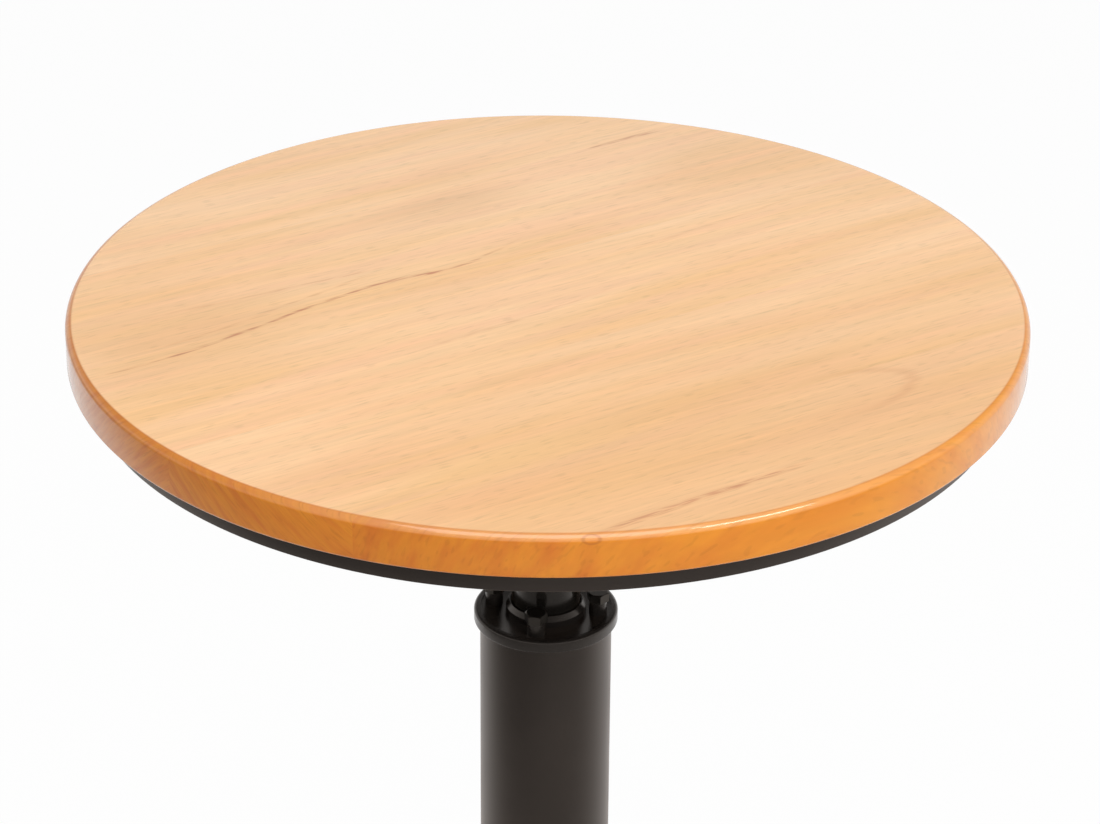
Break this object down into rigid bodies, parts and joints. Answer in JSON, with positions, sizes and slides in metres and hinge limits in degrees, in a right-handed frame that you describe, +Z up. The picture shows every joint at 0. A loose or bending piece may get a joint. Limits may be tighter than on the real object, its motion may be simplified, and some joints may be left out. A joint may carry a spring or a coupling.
{
  "type": "bar table",
  "caption": "Round bar table: a glued timber top on a steel hoop frame, whose post slides and turns in a floor column under a bolted gland, on a round plate with levelling glides.",
  "frame": {"origin": "on the floor, under the middle of the column", "axes": "+Z up along the column; -Y is the side that faces the camera, +X to its right"},
  "size_m": [0.6, 0.6, 1.03],
  "materials": {
    "varnished_timber": "satin varnish",
    "brown_black_paint": "satin",
    "gloss_black_paint": "gloss",
    "gland_casting": "gloss black enamel",
    "black_fastener": "black oxide",
    "zinc_fastener": "bright zinc",
    "bare_steel": "as turned",
    "guide_nylon": "as turned",
    "glide_plastic": "moulded"
  },
  "bodies": {
    "stand": {"base_plate": "brown_black_paint", "column_foot": "gland_casting", "foot_set_screws": "black_fastener", "foot_washers": "black_fastener", "foot_bolts": "black_fastener", "column_tube": "brown_black_paint", "head_ring": "bare_steel", "clamp_collet": "guide_nylon", "gland_cap": "gland_casting", "gland_bolts": "black_fastener"},
    "lift_guide": {"post_guide": "guide_nylon"},
    "top": {"top_board_1": "varnished_timber", "top_board_2": "varnished_timber", "top_board_3": "varnished_timber", "top_board_4": "varnished_timber", "top_board_5": "varnished_timber", "apron_ring": "brown_black_paint", "hub_plate": "brown_black_paint", "cross_arm_1": "brown_black_paint", "cross_arm_2": "brown_black_paint", "cross_arm_3": "brown_black_paint", "cross_arm_4": "brown_black_paint", "top_screws": "zinc_fastener", "post_tube": "gloss_black_paint", "post_flange": "gloss_black_paint", "post_gusset_1": "gloss_black_paint", "post_gusset_2": "gloss_black_paint", "post_gusset_3": "gloss_black_paint", "post_gusset_4": "gloss_black_paint", "flange_washers": "zinc_fastener", "flange_bolts": "zinc_fastener", "post_nut_plate": "bare_steel", "guide_washer": "zinc_fastener", "guide_bolt": "zinc_fastener"},
    "glide_1": {"glide_stem_1": "zinc_fastener", "glide_pad_1": "glide_plastic"},
    "glide_2": {"glide_stem_2": "zinc_fastener", "glide_pad_2": "glide_plastic"},
    "glide_3": {"glide_stem_3": "zinc_fastener", "glide_pad_3": "glide_plastic"},
    "glide_4": {"glide_stem_4": "zinc_fastener", "glide_pad_4": "glide_plastic"}
  },
  "joints": [
    {"name": "height_slide", "type": "slide", "parent": "stand", "child": "lift_guide", "axis": [0, 0, 1], "range_m": [-0.13, 0.07]},
    {"name": "top_swivel", "type": "hinge", "parent": "lift_guide", "child": "top", "pos_m": [0, 0, 0.8], "axis": [0, 0, 1], "continuous": true},
    {"name": "glide_1_screw", "type": "slide", "parent": "stand", "child": "glide_1", "axis": [0, 0, -1], "range_m": [0, 0.005]},
    {"name": "glide_2_screw", "type": "slide", "parent": "stand", "child": "glide_2", "axis": [0, 0, -1], "range_m": [0, 0.005]},
    {"name": "glide_3_screw", "type": "slide", "parent": "stand", "child": "glide_3", "axis": [0, 0, -1], "range_m": [0, 0.005]},
    {"name": "glide_4_screw", "type": "slide", "parent": "stand", "child": "glide_4", "axis": [0, 0, -1], "range_m": [0, 0.005]}
  ]
}
